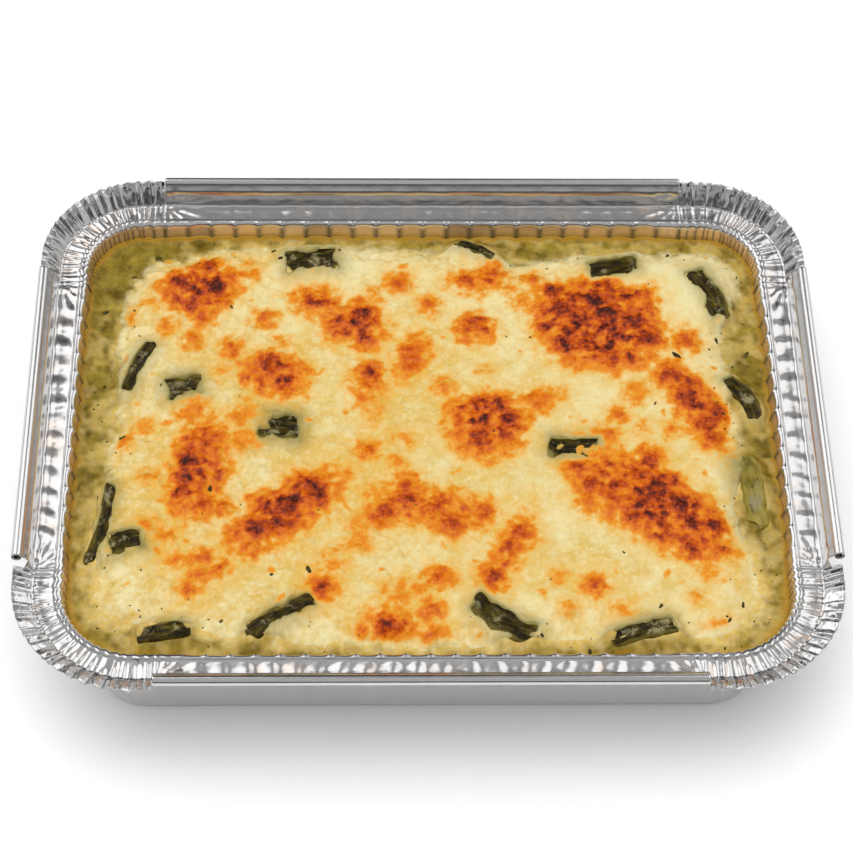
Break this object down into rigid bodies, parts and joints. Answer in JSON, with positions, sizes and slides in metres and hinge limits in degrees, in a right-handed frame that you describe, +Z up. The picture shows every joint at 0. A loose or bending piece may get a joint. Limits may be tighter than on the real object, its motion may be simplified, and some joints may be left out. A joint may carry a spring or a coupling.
{
  "type": "foil tray meal",
  "caption": "Oblong foil takeaway tray with rolled hems and crinkled corners, filled with baked cheese gratin, browned on top, with strips of green pepper in a pale green sauce.",
  "frame": {"origin": "on the table under the middle of the tray", "axes": "+X along the tray's long side, +Y along its short side towards the back, +Z up"},
  "size_m": [0.227, 0.177, 0.05],
  "materials": {
    "foil": "bright pressed foil, crinkled at the corners",
    "sauce": null,
    "cheese": null,
    "pepper": null
  },
  "bodies": {
    "root": {"tray": "foil", "sauce": "sauce", "cheese": "cheese", "pepper_01": "pepper", "pepper_02": "pepper", "pepper_03": "pepper", "pepper_04": "pepper", "pepper_05": "pepper", "pepper_06": "pepper", "pepper_07": "pepper", "pepper_08": "pepper", "pepper_09": "pepper", "pepper_10": "pepper", "pepper_11": "pepper", "pepper_12": "pepper", "pepper_13": "pepper", "pepper_14": "pepper", "pepper_15": "pepper", "pepper_16": "pepper"}
  },
  "joints": []
}
